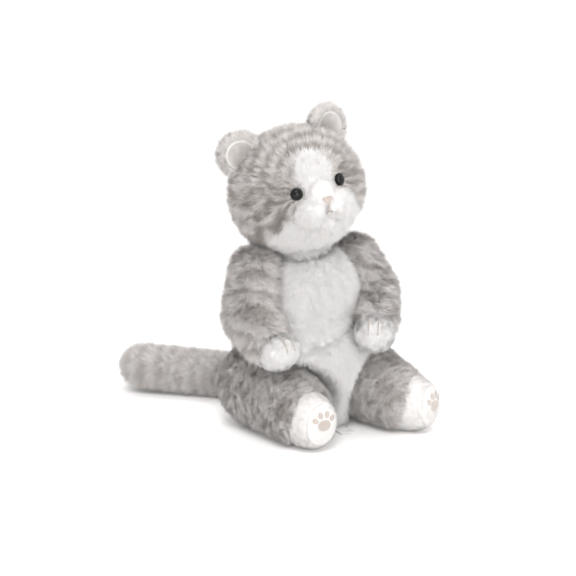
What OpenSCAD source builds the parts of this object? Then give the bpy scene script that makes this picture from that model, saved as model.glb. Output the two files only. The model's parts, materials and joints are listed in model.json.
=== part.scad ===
// Plush cat, sitting, with a turned and tilted head.
// +Z is up, the cat faces -Y and its left side is +X.
// The origin is on the floor under the middle of the seat.

/* [Torso] */
// half width of the seat
seat_rx = 62; // [50:0.5:75]
// half depth of the seat
seat_ry = 56; // [45:0.5:70]
// half height of the seat ellipsoid
seat_rz = 70; // [55:0.5:85]
// height of the seat's widest level
seat_z = 54; // [40:0.5:65]
// half width of the chest
chest_rx = 48; // [38:0.5:56]
// half depth of the chest
chest_ry = 42; // [32:0.5:50]
// half height of the chest ellipsoid
chest_rz = 52; // [40:0.5:60]
// height of the chest's centre
chest_z = 108; // [90:0.5:120]
// how far the torso's centre line lies behind the origin
torso_y = 5; // [0:0.5:12]
// half width of the white belly panel
belly_half_w = 40; // [30:0.5:42]

/* [Head] */
// half width of the head
head_rx = 54.5; // [46:0.5:62]
// half depth of the head
head_ry = 49; // [42:0.5:56]
// half height of the head
head_rz = 51; // [44:0.5:60]
// position of the head's centre
head_at = [-8, 8, 206]; // [-30:0.5:230]
// sideways tilt of the head
head_roll = -13; // [-20:0.5:20]
// turn of the head at rest
head_yaw = -1; // [-20:0.5:20]
// radius of the stuffed neck ball
neck_r = 22; // [16:0.5:28]
// position of the neck ball's centre
neck_at = [-4, 7, 150]; // [-20:0.5:170]

/* [Face] */
// distance of each eye from the face's middle
eye_x = 20.3; // [14:0.1:26]
// height of the eyes above the head's centre
eye_z = 11; // [4:0.1:18]
// radius of the eye's dome
eye_r = 4.7; // [3.5:0.1:6]
// radius of the collar around the dome
eye_rim_r = 5.4; // [4:0.1:7]
// radius of the retaining washer
washer_r = 7; // [5:0.1:9]
// width of the nose
nose_w = 8.6; // [6:0.1:12]
// height of the nose
nose_h = 6.8; // [5:0.1:10]
// radius of the white forehead blaze at its rounded top
blaze_top_r = 15.5; // [10:0.5:20]
// radius of the white forehead blaze between the eyes
blaze_low_r = 13; // [9:0.5:16]

/* [Ears] */
// half width of an ear
ear_rx = 18; // [12:0.5:22]
// half height of an ear
ear_rz = 18.5; // [12:0.5:22]
// half thickness of an ear
ear_ry = 6.5; // [4:0.5:9]
// sideways place of the ear hinge on the head
ear_x = 37; // [28:0.5:46]
// outward lean of the ears
ear_lean = 40; // [20:1:60]
// how far the ears face outward
ear_face = 14; // [0:1:35]

/* [Arms] */
// radius of the arm at the shoulder
shoulder_r = 19.5; // [14:0.5:24]
// radius of the arm at the elbow
elbow_r = 20; // [14:0.5:24]
// radius of the arm at the wrist
wrist_r = 15.5; // [11:0.5:20]
// height of the shoulders
shoulder_z = 139; // [125:0.5:150]

/* [Legs] */
// radius of the thigh at the hip
hip_r = 35; // [28:0.5:42]
// radius of the leg at the ankle
ankle_r = 25.5; // [20:0.5:32]
// how far the hips lie behind the origin
hip_y = 4; // [0:0.5:10]
// distance from the hip to the ankle
leg_l = 58; // [45:0.5:70]
// sideways place of the hips
hip_x = 43; // [36:0.5:52]
// half width of a foot
foot_rx = 21; // [17:0.5:28]
// half height of a foot
foot_rz = 24.5; // [20:0.5:32]
// half length of the foot ellipsoid
foot_ry = 36; // [26:0.5:46]
// radius of the domed sole
sole_r = 52; // [35:1:90]
// outward turn of the right leg
splay_right = -7; // [-12:1:25]
// outward turn of the left leg
splay_left = 15; // [-12:1:25]
// outward turn of the right foot against its leg
toe_right = 0; // [-10:1:30]
// outward turn of the left foot against its leg
toe_left = 16; // [-10:1:30]

/* [Tail] */
// radius of the tail at its root
tail_root_r = 15; // [10:0.5:20]
// radius of the tail at its bend
tail_bend_r = 16.5; // [10:0.5:22]
// radius of the tail at its tip
tail_tip_r = 15.5; // [10:0.5:22]
// place of the tail's root
tail_root = [-8, 60, 20]; // [-60:0.5:90]
// place where the tail bends sideways
tail_bend = [-42, 96, 18.5]; // [-90:0.5:120]
// place of the middle of the tail's tip
tail_tip = [-104, 140, 24]; // [-140:0.5:160]

/* [Fabric] */
// thickness of a fur fabric panel without its pile
fur_t = 2.2; // [1:0.1:4]
// thickness of the smooth velour pieces
velour_t = 1.6; // [0.8:0.1:3]
// clearance between pieces that move against each other
gap = 0.4; // [0.3:0.05:1]
// further clearance where a limb swings past the torso
swing_room = 3.4; // [3:0.1:4]
// clearance between fabric and filling in one body
fill_gap = 0.1; // [0.05:0.05:0.5]
// clearance between the head's fabric and its filling
head_fill_gap = 0.4; // [0.3:0.05:0.8]
// width of a seam between two panels
seam = 0.3; // [0.1:0.05:0.8]

/* [Hidden] */
big = 400;
$fn = 64;
seam_half = seam / 2;
ball_swell = 0.12;
eye_y = -head_ry * sqrt(1 - pow(eye_x / head_rx, 2) - pow(eye_z / head_rz, 2));
ear_z = head_rz * sqrt(1 - pow(ear_x / head_rx, 2)) + 1;
hip_z = hip_r + 1.5;
ankle_z = ankle_r + 2;
foot_z = foot_rz + 0.5;
foot_y = -leg_l - 8;
sole_y = foot_y - foot_ry + 7;
grey_fur = [0.66, 0.62, 0.60];
white_fur = [0.93, 0.91, 0.89];
velour = [0.90, 0.88, 0.86];
filling = [0.97, 0.97, 0.95];

// ---------- shared shapes ----------

module ball(at, r) {
    translate(at) sphere(r = r);
}

module blob(at, r) {
    translate(at) scale(r) sphere(r = 1);
}

// a bent tube with a ball at each listed point and a taper between neighbours
module tube(points, radii) {
    for (i = [0 : len(points) - 1]) ball(points[i], radii[i] + ball_swell);
    for (i = [0 : len(points) - 2]) {
        d = points[i + 1] - points[i];
        l = norm(d);
        s = (radii[i] - radii[i + 1]) / l;
        c = sqrt(1 - s * s);
        translate(points[i])
            rotate([0, acos(d.z / l), atan2(d.y, d.x)])
                translate([0, 0, radii[i] * s])
                    cylinder(h = l * (1 - s * s), r1 = radii[i] * c, r2 = radii[i + 1] * c);
    }
}

// everything on the side of a plane through the origin that its normal points to
module half_space(n) {
    rotate([0, acos(n.z / norm(n)), atan2(n.y, n.x)])
        translate([-big / 2, -big / 2, 0])
            cube(big);
}

module right_side(offset = 0) {
    translate([-big - offset, -big / 2, -big / 2]) cube(big);
}

module left_side(offset = 0) {
    translate([offset, -big / 2, -big / 2]) cube(big);
}

// ---------- where each moving group stands ----------

module at_head() {
    translate(head_at) rotate([0, head_roll, head_yaw]) children();
}

// side is 1 for the cat's left and -1 for its right
module at_ear(side) {
    at_head()
        translate([side * ear_x, 3, ear_z])
            rotate([0, side * ear_lean, side * ear_face])
                children();
}

module at_leg(side) {
    translate([side * hip_x, hip_y - side * 3, 0])
        rotate([0, 0, side > 0 ? splay_left : -splay_right])
            children();
}

// ---------- arms ----------

function shoulder(side) = [side * 47.5, 6, shoulder_z];
function elbow(side) = side > 0 ? [59, -6, 112] : [-62, -12, 106];
function wrist(side) = side > 0 ? [45, -39, 96] : [-58, -34, 88];
function hand(side) = side > 0 ? [33, -58, 89] : [-54, -46, 82];

function paw_turn(side) = side > 0 ? 35 : 14;

module arm_tube(side, inset) {
    tube(
        [shoulder(side), elbow(side), wrist(side)],
        [shoulder_r - inset, elbow_r - inset, wrist_r - inset]
    );
}

module paw_blob(side, inset) {
    translate(hand(side))
        rotate([-20, 0, side * -paw_turn(side)])
            scale([16 - inset, 18 - inset, 14.5 - inset])
                sphere(r = 1);
}

module toes(side) {
    translate(hand(side))
        rotate([-20, 0, side * -paw_turn(side)])
            for (i = [-1, 0, 1])
                translate([i * 8.2, -10.5 + abs(i) * 3, -1])
                    sphere(r = 7);
}

module arm_sleeve(side) {
    color(grey_fur)
        difference() {
            arm_tube(side, 0);
            arm_tube(side, fur_t);
            paw_blob(side, -fill_gap);
        }
}

module paw(side) {
    color(white_fur)
        difference() {
            union() {
                hull() paw_blob(side, 0);
                toes(side);
            }
            hull() paw_blob(side, fur_t);
            arm_tube(side, fur_t);
        }
}

module arm_stuffing(side) {
    color(filling)
        union() {
            arm_tube(side, fur_t + fill_gap);
            ball(hand(side), 14.5 - fur_t - 2 * fill_gap);
        }
}

// two curved thread lines that part the toes
module toe_stitches(side) {
    color([0.55, 0.50, 0.47])
        translate(hand(side))
            rotate([-20, 0, side * -paw_turn(side)])
                for (i = [-1, 1])
                    translate([i * 4.2, -3.4, 0])
                        rotate([0, 90, 0])
                            rotate([0, 0, 215])
                                rotate_extrude(angle = 65, $fn = 64)
                                    translate([14.7, 0]) circle(r = 0.5, $fn = 16);
}

// ---------- legs ----------

module leg_tube(inset) {
    tube([[0, 0, hip_z], [0, -leg_l, ankle_z]], [hip_r - inset, ankle_r - inset]);
}

module foot_blob(inset) {
    blob([0, foot_y, foot_z], [foot_rx - inset, foot_ry - inset, foot_rz - inset]);
}

module sole_ball(inset) {
    ball([0, sole_y + sole_r, foot_z], sole_r - inset);
}

// turns the foot about the ankle, inside the leg's own frame
module at_toe(side) {
    translate([0, -leg_l, 0])
        rotate([0, 0, side > 0 ? toe_left : -toe_right])
            translate([0, leg_l, 0])
                children();
}

module leg_cover(side) {
    color(grey_fur)
        at_leg(side)
            difference() {
                leg_tube(0);
                leg_tube(fur_t);
                at_toe(side) foot_blob(-fill_gap);
            }
}

module foot_upper(side) {
    color(velour)
        at_leg(side)
            difference() {
                at_toe(side)
                    difference() {
                        intersection() {
                            foot_blob(0);
                            sole_ball(velour_t + fill_gap);
                            translate([-60, -200, 0]) cube([120, 200 - leg_l + 12, 120]);
                        }
                        blob(
                            [0, foot_y, foot_z],
                            [foot_rx - velour_t, foot_ry + 0.5, foot_rz - velour_t]
                        );
                    }
                leg_tube(fur_t);
            }
}

module sole(side) {
    color(velour)
        at_leg(side)
            at_toe(side)
                difference() {
                    intersection() {
                        foot_blob(0);
                        sole_ball(0);
                        translate([-60, sole_y - 10, 0]) cube([120, 24, 120]);
                    }
                    sole_ball(velour_t);
                }
}

// one bean-shaped pad and four toe pads on the sole
module paw_print(side) {
    color([0.70, 0.65, 0.61])
        at_leg(side)
            at_toe(side)
                intersection() {
                    difference() {
                        sole_ball(-0.9);
                        sole_ball(-0.02);
                    }
                    translate([0, 0, foot_z])
                        rotate([90, 0, 0])
                            linear_extrude(height = 200) {
                                translate([0, 1]) scale([6.4, 4.6]) circle(r = 1, $fn = 48);
                                for (a = [-54, -18, 18, 54])
                                    rotate(a)
                                        translate([0, 10.5]) scale([2.2, 2.8]) circle(r = 1, $fn = 32);
                            }
                }
}

module leg_stuffing(side) {
    color(filling)
        at_leg(side)
            union() {
                leg_tube(fur_t + fill_gap);
                at_toe(side)
                    intersection() {
                        foot_blob(velour_t + fill_gap);
                        sole_ball(velour_t + 2 * fill_gap);
                    }
            }
}

// ---------- tail ----------

module tail_tube(inset) {
    tube(
        [tail_root, tail_bend, tail_tip],
        [tail_root_r - inset, tail_bend_r - inset, tail_tip_r - inset]
    );
}

// the outer form of the stuffed tail, thick at the root and round at the tip
module tail_form(inset) {
    points = [tail_root, tail_bend, tail_tip];
    radii = [tail_root_r, tail_bend_r, tail_tip_r];
    for (i = [0, 1])
        hull()
            for (j = [i, i + 1])
                ball(points[j], radii[j] - inset, $fn = 32);
}

// the cover is open where it is sewn to the back
module tail_cover() {
    color(grey_fur)
        difference() {
            tail_form(0);
            tail_form(fur_t);
            translate(tail_root) rotate([0, 0, 45]) translate([-big / 2, -big - 8, -big / 2]) cube(big);
        }
}

module tail_stuffing() {
    color(filling) tail_form(fur_t + fill_gap);
}

// ---------- torso ----------

module torso_solid(inset) {
    intersection() {
        union() {
            blob([0, torso_y, seat_z], [seat_rx - inset, seat_ry - inset, seat_rz - inset]);
            blob([0, torso_y, chest_z], [chest_rx - inset, chest_ry - inset, chest_rz - inset]);
        }
        translate([-big / 2, -big / 2, inset]) cube(big);
    }
}

// room for the limbs, which are stuffed bodies of their own
module limb_room(extra) {
    for (side = [-1, 1]) {
        tube(
            [shoulder(side), elbow(side), wrist(side)],
            [shoulder_r + 3 * gap + extra, elbow_r + swing_room + extra, wrist_r + swing_room + extra]
        );
        at_leg(side)
            tube(
                [[0, 0, hip_z], [0, -leg_l, ankle_z]],
                [hip_r + gap + extra, ankle_r + 5 * swing_room + extra]
            );
    }
    tail_tube(-gap - extra);
    ball(neck_at, neck_r + gap + extra);
    blob(head_at, [head_rx + 2.5 + extra, head_ry + 12 + extra, head_rz + 2.5 + extra]);
}

module torso_shell() {
    difference() {
        torso_solid(0);
        torso_solid(fur_t);
        limb_room(0);
    }
}

module belly_zone(grow) {
    translate([-belly_half_w - grow, -big, fur_t + seam])
        cube([2 * (belly_half_w + grow), big, big]);
}

module back_panel() {
    difference() {
        torso_shell();
        belly_zone(seam);
        translate([-big / 2, -big / 2, -big + fur_t + seam]) cube(big);
    }
}

module back_panel_left() {
    color(grey_fur)
        intersection() {
            back_panel();
            left_side(seam_half);
        }
}

module back_panel_right() {
    color(grey_fur)
        intersection() {
            back_panel();
            right_side(seam_half);
        }
}

module belly_panel() {
    color(white_fur)
        intersection() {
            torso_shell();
            belly_zone(0);
        }
}

module base_panel() {
    color(grey_fur)
        intersection() {
            difference() {
                torso_solid(0);
                limb_room(0);
            }
            translate([-big / 2, -big / 2, 0]) cube([big, big, fur_t]);
        }
}

module pellet_shape(inset) {
    intersection() {
        blob([0, torso_y, 12], [36 - inset, 32 - inset, 24 - inset]);
        translate([-60, -60, fur_t + fill_gap]) cube([120, 120, 60]);
    }
}

module pellet_bag() {
    color([0.80, 0.82, 0.86])
        difference() {
            pellet_shape(0.3);
            limb_room(fur_t);
        }
}

module torso_stuffing() {
    color(filling)
        difference() {
            torso_solid(fur_t + fill_gap);
            limb_room(fur_t);
            pellet_shape(0);
        }
}

module neck_ball() {
    color(filling) ball(neck_at, neck_r);
}

module care_label() {
    color([0.95, 0.95, 0.95])
        translate([4, -54, 0.9]) cube([13, 22, 0.5]);
}

// ---------- head ----------

module skull(inset) {
    blob([0, 0, 0], [head_rx - inset, head_ry - inset, head_rz - inset]);
}

// the white lower face lies under two planes that rise to the bridge of the nose
module chin_zone() {
    intersection() {
        half_space([0.583, -0.278, -0.763]);
        half_space([-0.583, -0.278, -0.763]);
    }
}

module blaze_zone(grow) {
    for (c = [[24, blaze_top_r], [9, blaze_low_r]])
        translate([0, 0, c[0]])
            rotate([90, 0, 0])
                cylinder(h = 100, r = c[1] + grow);
}

module muzzle_room(grow) {
    for (s = [-1, 1])
        blob([s * 11, -43, -6.5], [14 + grow, 15 + grow, 11.5 + grow]);
    blob([0, -43, 4], [12 + grow, 14.5 + grow, 13 + grow]);
    blob([0, -41, -18.5], [9 + grow, 10.5 + grow, 7 + grow]);
}

module eye_axis(s) {
    translate([s * eye_x, eye_y, eye_z])
        rotate([90 - 8, 0, s * 22])
            children();
}

module ear_room() {
    for (s = [-1, 1])
        translate([s * ear_x, 3, ear_z])
            rotate([0, s * ear_lean, s * ear_face])
                translate([-17, 0, 0])
                    rotate([0, 90, 0])
                        cylinder(h = 34, r = 4.5 + gap, $fn = 48);
}

module head_shell() {
    difference() {
        skull(0);
        skull(fur_t);
        muzzle_room(fill_gap);
        ear_room();
        for (s = [-1, 1])
            eye_axis(s) translate([0, 0, -8]) cylinder(h = 16, r = 1.8, $fn = 32);
    }
}

// the left half of the crown and the back of the head
module crown_half() {
    intersection() {
        difference() {
            head_shell();
            chin_zone();
            blaze_zone(seam);
        }
        left_side(seam_half);
    }
}

module crown_panel(s) {
    color(grey_fur)
        difference() {
            at_head() mirror([s > 0 ? 0 : 1, 0, 0]) crown_half();
            ball(neck_at, neck_r + gap);
        }
}

module crown_panel_left() {
    crown_panel(1);
}

module crown_panel_right() {
    crown_panel(-1, $fn = 48);
}

module blaze_panel() {
    color(white_fur)
        at_head()
            difference() {
                intersection() {
                    head_shell();
                    blaze_zone(0);
                }
                chin_zone();
            }
}

module chin_panel($fn = 48) {
    color(white_fur)
        difference() {
            at_head()
                intersection() {
                    head_shell();
                    translate([0, 0, -seam]) chin_zone();
                    translate([-big / 2, -big / 2, -big + 2]) cube(big);
                }
            ball(neck_at, neck_r + gap);
        }
}

module muzzle() {
    color(white_fur)
        at_head()
            difference() {
                muzzle_room(0);
                skull(fur_t);
            }
}

module head_stuffing() {
    color(filling)
        difference() {
            at_head()
                difference() {
                    skull(fur_t + head_fill_gap);
                    ear_room();
                    for (s = [-1, 1])
                        eye_axis(s)
                            translate([0, 0, -7]) cylinder(h = 12, r = washer_r + 0.3, $fn = 48);
                }
            ball(neck_at, neck_r + gap);
        }
}

module eye(s) {
    color([0.03, 0.03, 0.03])
        at_head()
            eye_axis(s)
                union() {
                    translate([0, 0, 0.3]) cylinder(h = 0.9, r = eye_rim_r, $fn = 64);
                    intersection() {
                        translate([0, 0, 1]) scale([eye_r, eye_r, 3.4]) sphere(r = 1, $fn = 64);
                        translate([0, 0, 10.3]) cube(20, center = true);
                    }
                    translate([0, 0, -6.8]) cylinder(h = 7.6, r = 1.5, $fn = 32);
                }
}

module eye_washer(s) {
    color([0.85, 0.85, 0.83])
        at_head()
            eye_axis(s)
                translate([0, 0, -5.6])
                    difference() {
                        cylinder(h = 1.4, r = washer_r, $fn = 48);
                        translate([0, 0, -1]) cylinder(h = 4, r = 1.55, $fn = 32);
                    }
}

module nose() {
    color([0.66, 0.60, 0.56])
        at_head()
            translate([0, -57.7, 3.4])
                rotate([90 + 6, 0, 0])
                    linear_extrude(height = 2)
                        hull() {
                            for (s = [-1, 1])
                                translate([s * (nose_w / 2 - 1.4), 0]) circle(r = 1.4, $fn = 24);
                            translate([0, -nose_h + 2.6]) circle(r = 1.2, $fn = 24);
                        }
}

module stitch(p, q) {
    tube([p, q], [0.55, 0.5], $fn = 24);
}

// a short Y of dark thread under the nose
module mouth_stitches() {
    color([0.25, 0.22, 0.21])
        at_head() {
            stitch([0, -58.3, -3.4], [0, -55.2, -8.6]);
            stitch([0, -55.2, -8.6], [-2.6, -55.6, -10.6]);
            stitch([0, -55.2, -8.6], [3.2, -56.2, -9.8]);
        }
}

// ---------- ears ----------

module ear_form(grow) {
    intersection() {
        blob([0, 0, 7.5], [ear_rx + grow, ear_ry + grow, ear_rz + grow]);
        translate([-40, -40, 3]) cube(80);
    }
}

module ear_cup(grow) {
    blob([0, -6.5, 9], [14.2 + grow, 7.8 + grow, 14 + grow]);
}

module ear_back(s) {
    color(grey_fur)
        at_ear(s)
            difference() {
                union() {
                    ear_form(0);
                    translate([-14, 0, 0])
                        rotate([0, 90, 0])
                            cylinder(h = 28, r = 4.5, $fn = 48);
                }
                ear_cup(0);
            }
}

module ear_lining(s) {
    color(velour)
        at_ear(s)
            difference() {
                intersection() {
                    ear_cup(-fill_gap);
                    ear_form(0);
                }
                translate([0, -0.8, 0]) ear_cup(-velour_t);
            }
}

// ---------- named nodes ----------

module eye_left() { eye(1); }
module eye_right() { eye(-1); }
module eye_washer_left() { eye_washer(1); }
module eye_washer_right() { eye_washer(-1); }
module ear_back_left() { ear_back(1); }
module ear_back_right() { ear_back(-1); }
module ear_lining_left() { ear_lining(1); }
module ear_lining_right() { ear_lining(-1); }
module arm_sleeve_left() { arm_sleeve(1, $fn = 32); }
module arm_sleeve_right() { arm_sleeve(-1); }
module paw_left() { paw(1, $fn = 40); }
module paw_right() { paw(-1, $fn = 32); }
module arm_stuffing_left() { arm_stuffing(1, $fn = 32); }
module arm_stuffing_right() { arm_stuffing(-1); }
module toe_stitches_left() { toe_stitches(1); }
module toe_stitches_right() { toe_stitches(-1); }
module leg_cover_left() { leg_cover(1); }
module leg_cover_right() { leg_cover(-1); }
module foot_upper_left() { foot_upper(1, $fn = 48); }
module foot_upper_right() { foot_upper(-1, $fn = 48); }
module sole_left() { sole(1); }
module sole_right() { sole(-1); }
module paw_print_left() { paw_print(1); }
module paw_print_right() { paw_print(-1); }
module leg_stuffing_left() { leg_stuffing(1); }
module leg_stuffing_right() { leg_stuffing(-1); }

back_panel_left();
back_panel_right();
belly_panel();
base_panel();
torso_stuffing();
pellet_bag();
care_label();
neck_ball();
crown_panel_left();
crown_panel_right();
blaze_panel();
chin_panel();
muzzle();
head_stuffing();
nose();
mouth_stitches();
eye_left();
eye_right();
eye_washer_left();
eye_washer_right();
ear_back_left();
ear_back_right();
ear_lining_left();
ear_lining_right();
arm_sleeve_left();
arm_sleeve_right();
paw_left();
paw_right();
arm_stuffing_left();
arm_stuffing_right();
toe_stitches_left();
toe_stitches_right();
leg_cover_left();
leg_cover_right();
foot_upper_left();
foot_upper_right();
sole_left();
sole_right();
paw_print_left();
paw_print_right();
leg_stuffing_left();
leg_stuffing_right();
tail_cover();
tail_stuffing();
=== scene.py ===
import json
import math

import bpy
import numpy as np
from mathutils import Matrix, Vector
from mathutils.bvhtree import BVHTree


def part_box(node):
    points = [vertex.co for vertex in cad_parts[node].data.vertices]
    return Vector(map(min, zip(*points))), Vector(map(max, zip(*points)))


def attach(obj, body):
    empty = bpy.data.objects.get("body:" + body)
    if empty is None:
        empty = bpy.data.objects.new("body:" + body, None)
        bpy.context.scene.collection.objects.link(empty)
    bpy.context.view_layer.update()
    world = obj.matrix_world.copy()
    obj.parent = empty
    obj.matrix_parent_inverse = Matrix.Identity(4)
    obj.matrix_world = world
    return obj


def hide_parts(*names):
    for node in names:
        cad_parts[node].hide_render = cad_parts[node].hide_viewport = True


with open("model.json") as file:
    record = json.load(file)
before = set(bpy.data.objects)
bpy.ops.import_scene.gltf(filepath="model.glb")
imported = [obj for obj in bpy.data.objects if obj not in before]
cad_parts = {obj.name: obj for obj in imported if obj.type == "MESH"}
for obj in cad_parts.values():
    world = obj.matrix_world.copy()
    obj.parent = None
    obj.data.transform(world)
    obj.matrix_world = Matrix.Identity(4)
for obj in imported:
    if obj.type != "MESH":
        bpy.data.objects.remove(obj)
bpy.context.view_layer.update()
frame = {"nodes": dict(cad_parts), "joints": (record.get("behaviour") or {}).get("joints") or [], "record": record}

MM = 0.001
NODES = frame["nodes"]
JOINTS = {j["name"]: np.array(j["pos_m"]) for j in frame["joints"]}
FUR_T = 2.3 * MM          # from the filling's surface to the outside of a fur panel
FLOOR_CLEAR = 0.3 * MM
SIDES = ("left", "right")

# the pile
REACH = 9 * MM            # how far a tuft looks for another body that would press it flat
ROOT_DEPTH = 0.35 * MM    # how far under the skin a tuft starts
CLUMP_MM = 7              # size of the clumps that lean together
CLUMPING = 0.42           # how strongly a clump turns its tufts
STRAYING = 0.25           # how strongly each tuft turns on its own
SOFT = 0.78               # how far a tuft is shaded like the skin under it
UV_STEP = 0.0012          # half the width of a tuft in the texture layout


def centre(node):
    low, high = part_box(node)
    return (np.array(low) + np.array(high)) / 2


def unit(v):
    v = np.asarray(v, float)
    return v / np.maximum(np.linalg.norm(v, axis=-1, keepdims=True), 1e-12)


def smooth(lo, hi, x):
    t = np.clip((x - lo) / (hi - lo), 0, 1)
    return t * t * (3 - 2 * t)


class Waves:
    """A smooth random field made from a few plane waves, for points in metres."""

    def __init__(self, seed, size_mm, count=7):
        rng = np.random.default_rng(seed)
        self.k = unit(rng.normal(size=(count, 3))) * (2 * math.pi / (size_mm * MM))
        self.k *= rng.uniform(0.6, 1.5, (count, 1))
        self.phase = rng.uniform(0, 2 * math.pi, count)
        self.scale = math.sqrt(2 / count)

    def __call__(self, p):
        return np.sin(p @ self.k.T + self.phase).sum(-1) * self.scale


# ---------- meshes ----------

def arrays(mesh):
    v = np.empty(len(mesh.vertices) * 3)
    mesh.vertices.foreach_get("co", v)
    mesh.calc_loop_triangles()
    t = np.empty(len(mesh.loop_triangles) * 3, np.int64)
    mesh.loop_triangles.foreach_get("vertices", t)
    return v.reshape(-1, 3), t.reshape(-1, 3)


def make_mesh(name, verts, faces):
    """faces is an (n, 3) or (n, 4) array."""
    mesh = bpy.data.meshes.new(name)
    n, k = faces.shape
    mesh.vertices.add(len(verts))
    mesh.vertices.foreach_set("co", np.ascontiguousarray(verts, np.float32).ravel())
    mesh.loops.add(n * k)
    mesh.loops.foreach_set("vertex_index", np.ascontiguousarray(faces, np.int32).ravel())
    mesh.polygons.add(n)
    mesh.polygons.foreach_set("loop_start", np.arange(n, dtype=np.int32) * k)
    mesh.update(calc_edges=True)
    return mesh


def add_object(name, mesh):
    obj = bpy.data.objects.new(name, mesh)
    bpy.context.scene.collection.objects.link(obj)
    return obj


def joined(nodes):
    vs, fs, base = [], [], 0
    for node in nodes:
        v, t = arrays(NODES[node].data)
        vs.append(v)
        fs.append(t + base)
        base += len(v)
    return np.concatenate(vs), np.concatenate(fs)


def baked(obj):
    """Applies the object's modifiers and returns (vertices, triangles), removing the object."""
    depsgraph = bpy.context.evaluated_depsgraph_get()
    mesh = bpy.data.meshes.new_from_object(obj.evaluated_get(depsgraph))
    out = arrays(mesh)
    bpy.data.objects.remove(obj)
    bpy.data.meshes.remove(mesh)
    return out


def remeshed(v, f, voxel_mm, rounds):
    obj = add_object("work", make_mesh("work", v, f))
    m = obj.modifiers.new("remesh", "REMESH")
    m.mode = "VOXEL"
    m.voxel_size = voxel_mm * MM
    if rounds:
        m = obj.modifiers.new("smooth", "SMOOTH")
        m.factor = 0.5
        m.iterations = rounds
    return baked(obj)


def vertex_normals(v, f):
    n = np.cross(v[f[:, 1]] - v[f[:, 0]], v[f[:, 2]] - v[f[:, 0]])
    out = np.zeros_like(v)
    for i in range(3):
        np.add.at(out, f[:, i], n)
    return unit(out)


def grown(v, f, by):
    return v + vertex_normals(v, f) * by


def islands_biggest(v, f):
    """Keeps the biggest connected piece, so no inner pocket or crumb is left."""
    parent = np.arange(len(v))
    edges = np.concatenate([f[:, :2], f[:, 1:]])
    while True:
        low = np.minimum(parent[edges[:, 0]], parent[edges[:, 1]])
        new = parent.copy()
        np.minimum.at(new, edges[:, 0], low)
        np.minimum.at(new, edges[:, 1], low)
        new = new[new]
        if (new == parent).all():
            break
        parent = new
    label = parent[f[:, 0]]
    ids, counts = np.unique(label, return_counts=True)
    f = f[label == ids[counts.argmax()]]
    used = np.unique(f)
    remap = np.zeros(len(v), np.int64)
    remap[used] = np.arange(len(used))
    return v[used], remap[f]


def body_skin(fillings, extras=(), grow=FUR_T, voxel=1.8, rounds=5):
    """The outside of a stuffed body: its filling grown by the fabric, joined with any outer lumps."""
    v, f = remeshed(*joined(fillings), voxel, rounds)
    v, f = islands_biggest(v, f)
    v = grown(v, f, grow + 0.3 * MM)
    if extras:
        v2, f2 = joined(extras)
        f = np.concatenate([f, f2 + len(v)])
        v = np.concatenate([v, v2])
    v, f = remeshed(v, f, voxel * 0.9, rounds)
    return islands_biggest(v, f)


def nearest_label(points, nodes):
    """For each point, the index of the CAD node whose surface is nearest."""
    best = np.full(len(points), 1e9)
    label = np.zeros(len(points), np.int64)
    for i, node in enumerate(nodes):
        v, t = arrays(NODES[node].data)
        tree = BVHTree.FromPolygons(v.tolist(), t.tolist())
        d = np.array([tree.find_nearest(Vector(p))[3] for p in points])
        closer = d < best
        best[closer] = d[closer]
        label[closer] = i
    return label


# ---------- the head's own axes, from the eyes and nose ----------

EYE_L, EYE_R, NOSE = centre("eye_left"), centre("eye_right"), centre("nose")
HEAD_X = unit(EYE_L - EYE_R)
BETWEEN_EYES = (EYE_L + EYE_R) / 2
to_nose = NOSE - BETWEEN_EYES
to_nose = unit(to_nose - HEAD_X * (to_nose @ HEAD_X))
# the nose lies 7.6 mm below and 13 mm ahead of the eyes' middle
dip = math.atan2(7.6, 13.0)
HEAD_Y = -(math.cos(dip) * to_nose + math.sin(dip) * np.cross(to_nose, HEAD_X))
HEAD_Z = np.cross(HEAD_X, HEAD_Y)
# the eyes' middle lies 42 mm ahead of the head's centre and 11 mm above it
HEAD_C = BETWEEN_EYES + HEAD_Y * 42 * MM - HEAD_Z * 11 * MM


def head_local(p):
    q = (p - HEAD_C) / MM
    return q @ HEAD_X, q @ HEAD_Y, q @ HEAD_Z


# ---------- coat pattern: 0 is the pale coat, 1 the dark of its stripes; on the ear's lining, 1 is painted shade ---

wave_big = Waves(11, 34)
wave_mid = Waves(12, 14)
wave_fine = Waves(13, 6)


def bands(t, period, sharp=0.5):
    s = 0.5 + 0.5 * np.sin(2 * math.pi * t / period)
    return smooth(sharp, 1.0, s)


def pattern_head(p):
    """Thin arcs over the crown, and streaks that fan back from each eye over the cheek."""
    x, y, z = head_local(p)
    warp = 1.2 * wave_mid(p) + 1.6 * wave_big(p)
    r = np.sqrt(x * x * 0.9 + (y + 48) ** 2 * 0.75 + (z - 14) ** 2)
    arcs = bands(r + 0.5 * warp, 9.6, 0.35) * smooth(16, 24, r)
    angle = np.degrees(np.arctan2(z - 10, np.hypot(np.abs(x) - 14, y + 44)))
    fan = bands(angle + 2.2 * warp, 19, 0.25)
    top = smooth(14, 27, z - 0.1 * np.abs(x))
    away = smooth(17, 25, np.abs(x))
    near_eye = np.exp(-(((np.abs(x) - 27) / 9) ** 2 + ((z - 13) / 7) ** 2)) * (y < 0)
    s = top * arcs * 0.78 + (1 - top) * fan * away * 0.86
    mottle = 0.20 * smooth(-0.4, 1.2, wave_fine(p)) + 0.16 * smooth(-0.2, 1.4, wave_mid(p))
    return np.clip(s + mottle + 0.42 * near_eye + 0.10, 0, 1)


def pattern_torso(p):
    x, y, z = (p / MM).T
    warp = 3.0 * wave_mid(p) + 4.5 * wave_big(p)
    ribs = bands(z + 0.25 * np.abs(x) + warp, 19, 0.45)
    spine = np.exp(-((x / 8) ** 2)) * (y > 0)
    mottle = 0.25 * smooth(-0.2, 1.2, wave_fine(p))
    return np.clip(0.68 * ribs + 0.45 * spine + mottle + 0.06, 0, 1)


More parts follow.
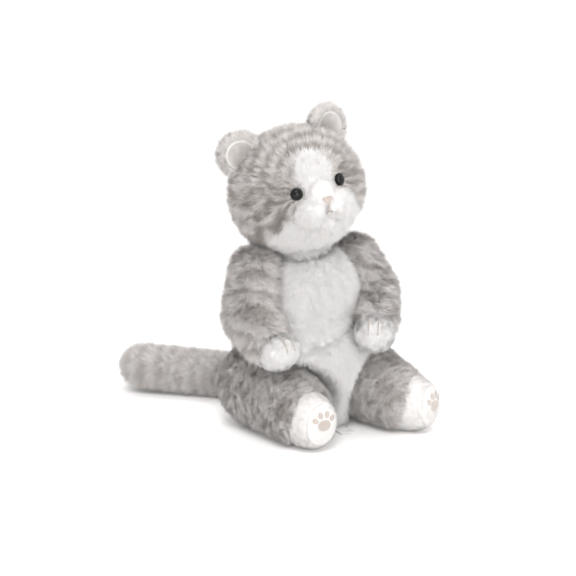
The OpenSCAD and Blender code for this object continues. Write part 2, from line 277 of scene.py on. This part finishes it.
def pattern_limb(start, end, period, offset=0.0):
    axis = unit(end - start)

    def pattern(p):
        t = (p - start) @ axis / MM
        front = (p[:, 1] - start[1]) / MM
        warp = 1.6 * wave_mid(p) + 3.0 * wave_big(p)
        s = bands(t + 0.3 * front + 0.8 * warp + offset, period, 0.3)
        mottle = 0.25 * smooth(-0.3, 1.2, wave_fine(p)) + 0.18 * smooth(0, 1.4, wave_mid(p))
        return np.clip(0.52 * s + mottle + 0.03, 0, 1)

    return pattern


def pattern_tail(p):
    return 0.7 * pattern_limb(TAIL_A, TAIL_B, 15)(p)


def pattern_leg(p):
    warp = wave_mid(p) + 0.8 * wave_big(p)
    return np.clip(0.45 * smooth(0.1, 1.6, warp) + 0.28 * smooth(-0.4, 1.2, wave_fine(p)) + 0.10, 0, 1)


def pattern_ear(p):
    return np.clip(0.12 + 0.15 * smooth(0, 1.5, wave_mid(p)), 0, 1)


def lining_painted_shade(side):
    """Painted shade in the ear's hollow: darker at its root, paler towards the rim."""
    root = JOINTS[f"ear_{side}_fold"]

    def pattern(p):
        return 0.95 * smooth(24, 7, np.linalg.norm(p - root, axis=1) / MM)

    return pattern


def pattern_plain(p):
    return 0.12 * smooth(-0.5, 1.5, wave_fine(p))


# ---------- materials ----------

def principled(name):
    mat = bpy.data.materials.new(name)
    mat.use_nodes = True
    return mat, mat.node_tree, mat.node_tree.nodes["Principled BSDF"]


def link(tree, a, b):
    tree.links.new(a, b)


def coat_material(name, pale, dark, sheen=0.25, rough=0.9, root_shade=0.72, speckle=0.35):
    """Fur whose colour comes from the strand's pattern value and its own tone, with painted shade that darkens
    each tuft from its tip down to root_shade at its root.
    """
    mat, tree, bsdf = principled(name)
    n = tree.nodes
    stripe = n.new("ShaderNodeAttribute")
    stripe.attribute_name = "stripe"
    tone = n.new("ShaderNodeAttribute")
    tone.attribute_name = "tone"
    along = n.new("ShaderNodeAttribute")
    along.attribute_name = "along"
    coords = n.new("ShaderNodeTexCoord")
    noise = n.new("ShaderNodeTexNoise")
    noise.inputs["Scale"].default_value = 420
    noise.inputs["Detail"].default_value = 3
    link(tree, coords.outputs["Object"], noise.inputs["Vector"])
    speck = n.new("ShaderNodeMath")
    speck.operation = "MULTIPLY_ADD"
    speck.inputs[1].default_value = speckle
    speck.inputs[2].default_value = -speckle / 2
    link(tree, noise.outputs["Fac"], speck.inputs[0])
    mix_in = n.new("ShaderNodeMath")
    mix_in.operation = "ADD"
    mix_in.use_clamp = True
    link(tree, stripe.outputs["Fac"], mix_in.inputs[0])
    link(tree, speck.outputs[0], mix_in.inputs[1])
    ramp = n.new("ShaderNodeValToRGB")
    ramp.color_ramp.elements[0].color = (*pale, 1)
    ramp.color_ramp.elements[1].color = (*dark, 1)
    mid = ramp.color_ramp.elements.new(0.5)
    mid.color = (*[a * 0.56 + b * 0.44 for a, b in zip(pale, dark)], 1)
    link(tree, mix_in.outputs[0], ramp.inputs["Fac"])
    # painted shade: the colour falls to root_shade at the root of each tuft, where the pile shades itself
    shade = n.new("ShaderNodeMapRange")
    shade.inputs["From Min"].default_value = 0
    shade.inputs["From Max"].default_value = 1
    shade.inputs["To Min"].default_value = root_shade
    shade.inputs["To Max"].default_value = 1.0
    link(tree, along.outputs["Fac"], shade.inputs["Value"])
    lum = n.new("ShaderNodeMath")
    lum.operation = "MULTIPLY"
    link(tree, shade.outputs["Result"], lum.inputs[0])
    link(tree, tone.outputs["Fac"], lum.inputs[1])
    mul = n.new("ShaderNodeMix")
    mul.data_type = "RGBA"
    mul.blend_type = "MULTIPLY"
    mul.inputs["Factor"].default_value = 1
    link(tree, ramp.outputs["Color"], mul.inputs["A"])
    link(tree, lum.outputs[0], mul.inputs["B"])
    link(tree, mul.outputs["Result"], bsdf.inputs["Base Color"])
    bsdf.inputs["Roughness"].default_value = rough
    bsdf.inputs["Specular IOR Level"].default_value = 0.15
    bsdf.inputs["Sheen Weight"].default_value = sheen
    bsdf.inputs["Sheen Roughness"].default_value = 0.5
    return mat


def weave_material(name, colour, scale=900, strength=0.25, rough=0.85, sheen=0.3, vary=0.08):
    """Woven or knitted cloth: fine crossing ribs in the bump, a soft mottle in the colour."""
    mat, tree, bsdf = principled(name)
    n = tree.nodes
    coords = n.new("ShaderNodeTexCoord")
    waves = []
    for axis in ("X", "Z"):
        w = n.new("ShaderNodeTexWave")
        w.bands_direction = axis
        w.inputs["Scale"].default_value = scale
        w.inputs["Distortion"].default_value = 1.5
        link(tree, coords.outputs["Object"], w.inputs["Vector"])
        waves.append(w)
    both = n.new("ShaderNodeMath")
    both.operation = "MULTIPLY"
    link(tree, waves[0].outputs["Fac"], both.inputs[0])
    link(tree, waves[1].outputs["Fac"], both.inputs[1])
    bump = n.new("ShaderNodeBump")
    bump.inputs["Strength"].default_value = strength
    bump.inputs["Distance"].default_value = 0.0004
    link(tree, both.outputs[0], bump.inputs["Height"])
    link(tree, bump.outputs["Normal"], bsdf.inputs["Normal"])
    noise = n.new("ShaderNodeTexNoise")
    noise.inputs["Scale"].default_value = 120
    noise.inputs["Detail"].default_value = 4
    link(tree, coords.outputs["Object"], noise.inputs["Vector"])
    ramp = n.new("ShaderNodeValToRGB")
    ramp.color_ramp.elements[0].position = 0.3
    ramp.color_ramp.elements[1].position = 0.7
    ramp.color_ramp.elements[0].color = (*[c * (1 - vary) for c in colour], 1)
    ramp.color_ramp.elements[1].color = (*[min(1, c * (1 + vary)) for c in colour], 1)
    link(tree, noise.outputs["Fac"], ramp.inputs["Fac"])
    link(tree, ramp.outputs["Color"], bsdf.inputs["Base Color"])
    bsdf.inputs["Roughness"].default_value = rough
    bsdf.inputs["Specular IOR Level"].default_value = 0.2
    bsdf.inputs["Sheen Weight"].default_value = sheen
    return mat


# root_shade sets how dark the painted shade is at the root of each tuft
GREY = coat_material("tabby_fur", (0.84, 0.805, 0.78), (0.33, 0.295, 0.275), root_shade=0.72)
WHITE = coat_material("white_fur", (0.89, 0.875, 0.865), (0.80, 0.775, 0.755), root_shade=0.88, speckle=0.10)
VELOUR = coat_material("velour_nap", (0.84, 0.82, 0.805), (0.74, 0.715, 0.695), root_shade=0.9, speckle=0.08)
# the lining's dark colour is painted shade, for the ear's hollow
LINING = coat_material("ear_velour", (0.86, 0.83, 0.81), (0.45, 0.41, 0.385), root_shade=0.8, speckle=0.1)


# ---------- fur ----------

def lat_long(p, c, pole, facing):
    """UV of points seen from c, with the seam opposite to facing."""
    pole = unit(pole)
    a = unit(facing - pole * (facing @ pole))
    b = np.cross(pole, a)
    d = unit(p - c)
    u = np.arctan2(d @ b, d @ a) / (2 * math.pi) + 0.5
    v = np.arccos(np.clip(d @ pole, -1, 1)) / math.pi
    return np.stack([u, v], -1) * 0.98 + 0.01


def scattered(rng, v, f, vn, density):
    """Random places on the skin with density per mm2, and the skin's normals there."""
    tri = v[f]
    area = np.linalg.norm(np.cross(tri[:, 1] - tri[:, 0], tri[:, 2] - tri[:, 0]), axis=1) / 2
    count = int(area.sum() / MM ** 2 * density)
    pick = rng.choice(len(f), count, p=area / area.sum())
    bary = rng.dirichlet((1, 1, 1), count)
    root = (tri[pick] * bary[..., None]).sum(1)
    normal = unit((vn[f[pick]] * bary[..., None]).sum(1))
    return root, normal


def clearance(root, normal, others):
    """From 0, where another body lies on the skin, to 1, where none is within REACH."""
    close = np.ones(len(root))
    for tree, low_at, high_at in others:
        inside = ((root > low_at - REACH) & (root < high_at + REACH)).all(1)
        for i in np.where(inside)[0]:
            hit = tree.ray_cast(Vector(root[i] + normal[i] * 0.2 * MM), Vector(normal[i]), REACH)
            if hit[3] is not None:
                close[i] = min(close[i], hit[3] / REACH)
    return close


def across_skin(flow, normal):
    return unit(flow - normal * (flow * normal).sum(1, keepdims=True))


def combed(rng, root, normal, spec, seed):
    """The direction in which each tuft lies, and its lean from the skin's normal in radians."""
    count = len(root)
    flow = across_skin(spec["flow"](root, normal), normal)
    clump = np.stack([Waves(seed * 3 + i, CLUMP_MM)(root) for i in range(3)], -1)
    flow = unit(flow + CLUMPING * clump + STRAYING * rng.normal(size=(count, 3)))
    flow = across_skin(flow, normal)
    lean = np.radians(spec["lean"] + 9 * rng.normal(size=count) + 8 * clump[:, 0])
    return flow, np.clip(lean, 0.1, 1.45)[:, None]


def spikes(rng, root, normal, length, spec, seed):
    """Each tuft's three root corners and its tip, with the normals that shade them."""
    count = len(root)
    flow, lean = combed(rng, root, normal, spec, seed)
    tip = root + length[:, None] * (normal * np.cos(lean) + flow * np.sin(lean))
    tip[:, 2] = np.maximum(tip[:, 2], FLOOR_CLEAR + 0.4 * MM * rng.random(count))
    width = spec["width"] * MM * rng.uniform(0.75, 1.2, count)[:, None]
    side = unit(np.cross(normal, flow))
    start = root - normal * ROOT_DEPTH
    verts = np.empty((count, 4, 3))
    norms = np.empty((count, 4, 3))
    for i, corner in enumerate([side * 0.5, side * -0.5, flow * -0.75 + normal * 0.2]):
        verts[:, i] = start + corner * width
        norms[:, i] = unit(normal * SOFT + unit(corner) * (1 - SOFT))
    verts[:, 3] = tip
    norms[:, 3] = unit(normal * SOFT + unit(tip - root) * (1 - SOFT) * 0.5)
    verts[..., 2] = np.maximum(verts[..., 2], FLOOR_CLEAR * 0.5)
    return verts, norms


def texture_layout(v, vn, root):
    """One UV place for each skin point and each tuft's four points."""
    facing = unit(vn.mean(0) + 1e-6)
    pole = np.array([0.0, 0.0, 1.0]) if abs(facing[2]) < 0.8 else np.array([0.0, 1.0, 0.0])
    seen_from = v.mean(0) - facing * 12 * MM
    offsets = np.array([[-1, -1], [1, -1], [0, 0.4], [0, 1.4]]) * UV_STEP
    tuft_uv = lat_long(root, seen_from, pole, facing)[:, None] + offsets
    return np.concatenate([lat_long(v, seen_from, pole, facing), tuft_uv.reshape(-1, 2)])


def furry(name, v, f, spec, material, body, node, seed, others):
    """A panel with its pile: one closed three-sided spike per tuft, all in one mesh.

    spec has length, density per mm2, lean (degrees), width and flow(points, normals), and may have
    tone, length_at(points) and stripe(points)."""
    rng = np.random.default_rng(seed)
    vn = vertex_normals(v, f)
    root, normal = scattered(rng, v, f, vn, spec["density"])
    length = spec["length"] * MM * rng.uniform(0.7, 1.15, len(root))
    if "length_at" in spec:
        length *= spec["length_at"](root)
    close = clearance(root, normal, others)
    length *= np.clip(close * 1.3, 0.15, 1)
    keep = (length > 0.5 * MM) & (close > 0.04)
    root, normal, length = root[keep], normal[keep], length[keep]
    count = len(root)
    verts, norms = spikes(rng, root, normal, length, spec, seed)
    first = np.arange(count)[:, None] * 4 + len(v)
    walls = [first + np.array(corners) for corners in ([1, 0, 3], [2, 1, 3], [0, 2, 3])]
    skin = v.copy()
    skin[:, 2] = np.maximum(skin[:, 2], FLOOR_CLEAR * 0.5)
    all_f = np.concatenate([f, *walls])
    mesh = make_mesh(name, np.concatenate([skin, verts.reshape(-1, 3)]), all_f)
    stripe = spec.get("stripe", pattern_plain)
    tone = rng.normal(1.0, spec.get("tone", 0.07), count)
    values = {
        "stripe": (stripe(v), np.repeat(stripe(root), 4)),
        "tone": (np.full(len(v), 0.95), np.repeat(tone, 4)),
        # along drives the painted root shade: 0 at a tuft's root, 1 at its tip; the skin under the pile takes 0.1,
        # nearly the full painted shade
        "along": (np.full(len(v), 0.1), np.tile([0.0, 0.0, 0.0, 1.0], count)),
    }
    for key, parts in values.items():
        attribute = mesh.attributes.new(key, "FLOAT", "POINT")
        attribute.data.foreach_set("value", np.concatenate(parts).astype(np.float32))
    layer = mesh.uv_layers.new(name="OFBake")
    uv = texture_layout(v, vn, root)
    layer.data.foreach_set("uv", uv[all_f.ravel()].astype(np.float32).ravel())
    mesh.polygons.foreach_set("use_smooth", np.ones(len(all_f), bool))
    mesh.normals_split_custom_set_from_vertices(np.concatenate([vn, norms.reshape(-1, 3)]).tolist())
    mesh.materials.append(material)
    mesh.update()
    obj = add_object(name, mesh)
    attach(obj, body)
    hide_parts(node)
    print(f"{name}: {count} tufts, {len(all_f)} triangles")


def submesh(v, f, mask):
    g = f[mask]
    used = np.unique(g)
    remap = np.zeros(len(v), np.int64)
    remap[used] = np.arange(len(used))
    return v[used], remap[g]


def seams_in(v, f, label, depth=0.7 * MM):
    """Pulls the skin in along the borders between panels."""
    vn = vertex_normals(v, f)
    lo = np.full(len(v), 99)
    hi = np.full(len(v), -1)
    for i in range(3):
        np.minimum.at(lo, f[:, i], label)
        np.maximum.at(hi, f[:, i], label)
    edge = (lo != hi).astype(float)
    near = edge.copy()
    for _ in range(2):
        spread = np.zeros(len(v))
        weight = np.zeros(len(v))
        for i in range(3):
            for j in range(3):
                if i != j:
                    np.add.at(spread, f[:, i], near[f[:, j]])
                    np.add.at(weight, f[:, i], 1)
        near = np.maximum(edge, 0.6 * spread / np.maximum(weight, 1))
    return v - vn * (near * depth)[:, None]


# ---------- skins of every body ----------

skins = {
    "neck": body_skin(["neck_ball"], grow=0.2 * MM),
    "torso": body_skin(["torso_stuffing", "pellet_bag"]),
    "head": body_skin(
        ["head_stuffing", "eye_washer_left", "eye_washer_right"], ["muzzle"], voxel=1.6, rounds=4,
    ),
    "tail": body_skin(["tail_stuffing"]),
}
for s in SIDES:
    skins["arm_" + s] = body_skin(["arm_stuffing_" + s], ["paw_" + s], voxel=1.5)
    skins["leg_" + s] = body_skin(["leg_stuffing_" + s], grow=2.0 * MM, voxel=1.7)
    skins["ear_" + s] = islands_biggest(*remeshed(*joined(["ear_back_" + s, "ear_lining_" + s]), 0.8, 4))


def belly_creased(v, f):
    """The fold across the front where the chest sinks onto the seat; it climbs towards the left side."""
    line = 86 * MM + 0.26 * v[:, 0]
    fold = np.exp(-(((v[:, 2] - line) / (5 * MM)) ** 2)) * smooth(10 * MM, 34 * MM, -v[:, 1])
    return v - vertex_normals(v, f) * (4.5 * MM * fold)[:, None], f


skins["torso"] = belly_creased(*skins["torso"])
TREES = {
    b: (BVHTree.FromPolygons(v.tolist(), f.tolist()), v.min(0), v.max(0)) for b, (v, f) in skins.items()
}

# ---------- fur directions ----------


def down_flow(p, n):
    return np.tile([0.0, 0.0, -1.0], (len(p), 1))


def toward(target):
    return lambda p, n: unit(target - p)


def along_axis(a, b):
    axis = unit(b - a)
    return lambda p, n: np.tile(axis, (len(p), 1))


def head_flow(p, n):
    """Away from the nose, over the crown and down the cheeks."""
    away = unit(p - (NOSE + HEAD_Z * 4 * MM))
    drop = smooth(10, 50, head_local(p)[1])[:, None] * -np.array([[0.0, 0.0, 1.0]])
    return away + drop * 1.5 - np.array([[0, 0, 0.25]])


def face_length(p):
    """Short pile near the nose, mouth and eyes, long on the cheeks."""
    d = np.linalg.norm(p - NOSE, axis=1) / MM
    near_eye = np.minimum(np.linalg.norm(p - EYE_L, axis=1), np.linalg.norm(p - EYE_R, axis=1)) / MM
    beside_eye = np.where(near_eye < 5.6, 0.0, 0.3 + 0.7 * smooth(5.6, 13, near_eye))
    return (0.22 + 0.78 * smooth(5, 30, d)) * beside_eye


def ear_flow(side):
    base = JOINTS[f"ear_{side}_fold"]
    return lambda p, n: unit(p - base)


# ---------- the covers ----------

SHOULDER = {s: JOINTS[f"arm_{s}_raise"] for s in SIDES}
HIP = {s: JOINTS[f"leg_{s}_spread"] for s in SIDES}
HAND = {s: centre("paw_" + s) for s in SIDES}
SOLE = {s: centre("sole_" + s) for s in SIDES}
TAIL_A = JOINTS["tail_swing"]
tail_low, tail_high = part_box("tail_cover")
TAIL_B = np.array([
    tail_low[0] + 16 * MM, tail_high[1] - 16 * MM, (tail_low[2] + tail_high[2]) / 2,
])

GREY_SPEC = dict(length=9.8, density=3.3, lean=41, width=0.42)
WHITE_SPEC = dict(length=8.0, density=3.0, lean=49, width=0.42, tone=0.04)


def spec(base, **changes):
    return {**base, **changes}


BACK = spec(GREY_SPEC, flow=down_flow, stripe=pattern_torso)
CROWN = spec(GREY_SPEC, flow=head_flow, stripe=pattern_head, length_at=face_length)
FACE = spec(WHITE_SPEC, flow=head_flow, length_at=face_length)

# body: {node: (its pile, its material)}
plan = {
    "torso": {
        "back_panel_left": (BACK, GREY),
        "back_panel_right": (BACK, GREY),
        "belly_panel": (spec(WHITE_SPEC, flow=down_flow), WHITE),
        "base_panel": (spec(BACK, length=2.0, density=0.8), GREY),
    },
    "head": {
        "crown_panel_left": (CROWN, GREY),
        "crown_panel_right": (CROWN, GREY),
        "blaze_panel": (FACE, WHITE),
        "chin_panel": (FACE, WHITE),
        "muzzle": (spec(FACE, density=3.2, width=0.4), WHITE),
    },
    "neck": {
        "neck_ball": (spec(WHITE_SPEC, length=7.0, flow=down_flow), WHITE),
    },
    "tail": {
        "tail_cover": (
            spec(GREY_SPEC, flow=along_axis(TAIL_A, TAIL_B), stripe=pattern_tail), GREY,
        ),
    },
}
for s in SIDES:
    plan["arm_" + s] = {
        "arm_sleeve_" + s: (
            spec(GREY_SPEC, flow=toward(HAND[s] + np.array([0, 0.005, -0.03])),
                 stripe=pattern_limb(SHOULDER[s], HAND[s] + np.array([0, 0.02, 0.0]), 13.5)), GREY,
        ),
        "paw_" + s: (spec(WHITE_SPEC, length=4.2, density=3.0, flow=along_axis(SHOULDER[s], HAND[s])), WHITE),
    }
    plan["leg_" + s] = {
        "leg_cover_" + s: (
            spec(GREY_SPEC, length=7.0, flow=along_axis(HIP[s], SOLE[s]), stripe=pattern_leg), GREY,
        ),
        "foot_upper_" + s: (
            spec(WHITE_SPEC, length=1.6, density=4.0, width=0.3, lean=40,
                 flow=along_axis(HIP[s], SOLE[s])), VELOUR,
        ),
        "sole_" + s: (
            spec(WHITE_SPEC, length=1.1, density=4.0, width=0.3, lean=35, flow=down_flow), VELOUR,
        ),
    }
    plan["ear_" + s] = {
        "ear_back_" + s: (
            spec(GREY_SPEC, length=6.0, density=3.2, lean=42, flow=ear_flow(s), stripe=pattern_ear), GREY,
        ),
        # the lining's pale-to-dark value is painted shade, deepest at the ear's root
        "ear_lining_" + s: (
            spec(WHITE_SPEC, length=1.2, density=4.5, width=0.28, lean=45, flow=ear_flow(s),
                 stripe=lining_painted_shade(s)), LINING,
        ),
    }

slot_of = {r["node"]: r["material_slot"] for r in frame["record"]["subparts"]}
seed = 100
for body, covers in plan.items():
    v, f = skins[body]
    names = list(covers)
    label = nearest_label(v[f].mean(1), names)
    v = seams_in(v, f, label)
    others = [TREES[b] for b in TREES if b != body]
    for i, node in enumerate(names):
        seed += 1
        sub_v, sub_f = submesh(v, f, label == i)
        cover, material = covers[node]
        furry(node + "_cover", sub_v, sub_f, cover, material, body, node, seed, others)

# ---------- small parts kept from the frame ----------

gloss, _, bsdf = principled("eye_gloss")
bsdf.inputs["Base Color"].default_value = (0.003, 0.003, 0.003, 1)
bsdf.inputs["Roughness"].default_value = 0.05
bsdf.inputs["Specular IOR Level"].default_value = 0.28
plastic, _, bsdf = principled("washer_plastic")
bsdf.inputs["Base Color"].default_value = (0.8, 0.8, 0.78, 1)
bsdf.inputs["Roughness"].default_value = 0.5
MATERIALS = {
    "eye": gloss,
    "washer": plastic,
    "nose": weave_material("nose_felt", (0.42, 0.36, 0.33), 1400, 0.3),
    "print": weave_material("satin_stitch", (0.48, 0.42, 0.38), 1200, 0.5, 0.55),
    "thread": weave_material("thread", (0.36, 0.31, 0.285), 2500, 0.3, 0.7),
    "polyester_filling": weave_material("fibre_filling", (0.9, 0.9, 0.88), 300, 0.4, 0.95),
    "pellet_bag": weave_material("pouch_cloth", (0.62, 0.66, 0.74), 1500, 0.3, 0.8),
    "label": weave_material("label_satin", (0.85, 0.85, 0.85), 2500, 0.2, 0.4),
}
for node, obj in NODES.items():
    if obj.hide_render or slot_of[node] not in MATERIALS:
        continue
    obj.data.materials.clear()
    obj.data.materials.append(MATERIALS[slot_of[node]])


def care_label():
    """A small satin tag under the seat, 13 by 22 mm, with a slow curl and no lettering."""
    low, high = (np.array(c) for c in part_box("care_label"))
    across, down, half, curl = 9, 15, 0.1 * MM, 0.12 * MM
    s, t = np.meshgrid(np.linspace(0, 1, across), np.linspace(0, 1, down), indexing="ij")
    x = low[0] + s * (high[0] - low[0])
    y = low[1] + t * (high[1] - low[1])
    z = (low[2] + high[2]) / 2 + curl * np.sin(math.pi * 2 * t) * (0.6 + 0.4 * s)
    sheets = [np.stack([x, y, z + k * half], -1).reshape(-1, 3) for k in (1, -1)]
    n = across * down
    cell = np.array([
        [i * down + j, (i + 1) * down + j, (i + 1) * down + j + 1, i * down + j + 1]
        for i in range(across - 1) for j in range(down - 1)
    ])
    ring = [i * down for i in range(across)]
    ring += [(across - 1) * down + j for j in range(1, down)]
    ring += [i * down + down - 1 for i in range(across - 2, -1, -1)]
    ring += list(range(down - 2, 0, -1))
    wall = np.array([[a, a + n, b + n, b] for a, b in zip(ring, ring[1:] + ring[:1])])
    tag = add_object("care_label_tag", make_mesh(
        "care_label_tag", np.concatenate(sheets), np.concatenate([cell, cell[:, ::-1] + n, wall]),
    ))
    tag.data.materials.append(MATERIALS["label"])
    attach(tag, "torso")
    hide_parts("care_label")


care_label()

# ---------- studio ----------

scene = bpy.context.scene
AZ, EL, DIST = math.radians(-27.0), math.radians(14.5), 1.2
back = Vector((math.sin(AZ) * math.cos(EL), -math.cos(AZ) * math.cos(EL), math.sin(EL)))
right = Vector((math.cos(AZ), math.sin(AZ), 0))
up = back.cross(right)
VIEW_WIDTH = 504 * MM     # width of the view at the cat's distance
AIM_LEFT = 18.4 * MM      # the view's middle, from a point on the cat's own axis at AIM_HEIGHT
AIM_DOWN = 9.6 * MM
AIM_HEIGHT = 130 * MM
FLOOR_HALF = 40.0         # metres
aim = Vector((0, 0, AIM_HEIGHT)) - right * AIM_LEFT - up * AIM_DOWN
cam_data = bpy.data.cameras.new("camera")
cam_data.sensor_width = 36
cam_data.lens = 36 * DIST / VIEW_WIDTH
cam = bpy.data.objects.new("camera", cam_data)
cam.location = aim + back * DIST
cam.rotation_euler = back.to_track_quat("Z", "Y").to_euler()
scene.collection.objects.link(cam)
scene.camera = cam

floor_mat, _, bsdf = principled("studio_floor")
bsdf.inputs["Base Color"].default_value = (0.99, 0.985, 0.98, 1)
bsdf.inputs["Roughness"].default_value = 0.9
bsdf.inputs["Specular IOR Level"].default_value = 0.1
floor = add_object("floor", make_mesh(
    "floor",
    np.array([[-1, -1, 0], [1, -1, 0], [1, 1, 0], [-1, 1, 0]]) * FLOOR_HALF,
    np.array([[0, 1, 2, 3]]),
))
floor.data.materials.append(floor_mat)

world = bpy.data.worlds.new("studio")
scene.world = world
world.use_nodes = True
world.node_tree.nodes["Background"].inputs["Color"].default_value = (1, 0.99, 0.985, 1)
world.node_tree.nodes["Background"].inputs["Strength"].default_value = 1.05


def area_light(name, place, size, power, target=(0, 0, 0.12)):
    data = bpy.data.lights.new(name, "AREA")
    data.shape = "DISK"
    data.size = size
    data.energy = power
    light = bpy.data.objects.new(name, data)
    light.location = place
    light.rotation_euler = (Vector(place) - Vector(target)).to_track_quat("Z", "Y").to_euler()
    scene.collection.objects.link(light)


area_light("key", (-0.5, -0.8, 1.4), 0.7, 9)
area_light("top", (0.2, 0.3, 1.7), 1.0, 6)
area_light("front", (-0.35, -1.3, 0.35), 0.9, 7)
area_light("side", (1.2, -0.4, 0.7), 0.7, 2)
scene.view_settings.view_transform = "Standard"
scene.view_settings.look = "None"
